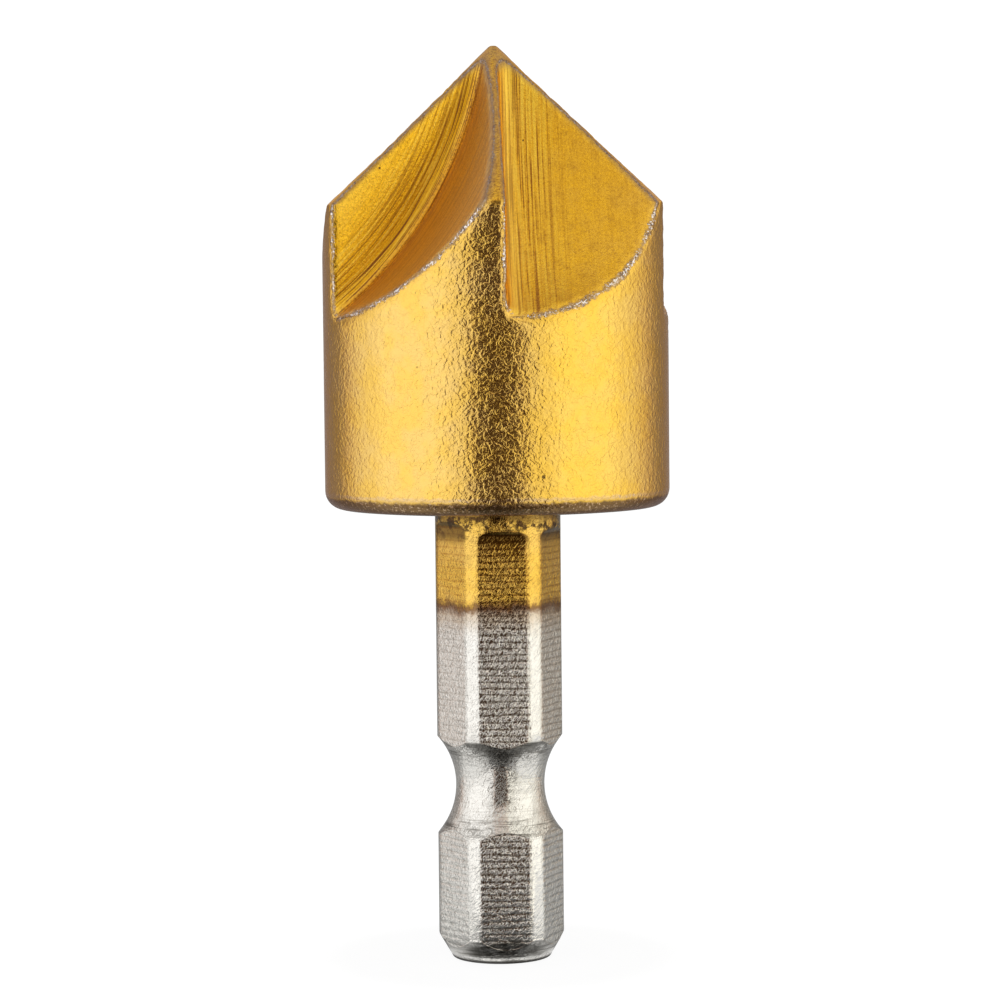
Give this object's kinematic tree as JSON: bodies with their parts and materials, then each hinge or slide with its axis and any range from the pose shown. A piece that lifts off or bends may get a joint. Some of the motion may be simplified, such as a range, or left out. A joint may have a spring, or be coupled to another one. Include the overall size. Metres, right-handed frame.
{
  "type": "countersink bit",
  "caption": "One-piece countersink bit: cylindrical head with a conical point ground with flutes, on a hex quick-change shank with a locking groove.",
  "frame": {"origin": "centre of the shank's flat end face", "axes": "+Z along the bit's axis from the shank to the point; -Y is the outward normal of one hex flat; the bit turns counter-clockwise about +Z when it cuts"},
  "size_m": [0.019, 0.019, 0.0503],
  "materials": {
    "coated_steel": "gold nitride coat with a fine pebbled texture on the head and the top of the shank, bare bright steel below it, and ground grain in the flutes"
  },
  "bodies": {
    "root": {"countersink_bit": "coated_steel"}
  },
  "joints": []
}
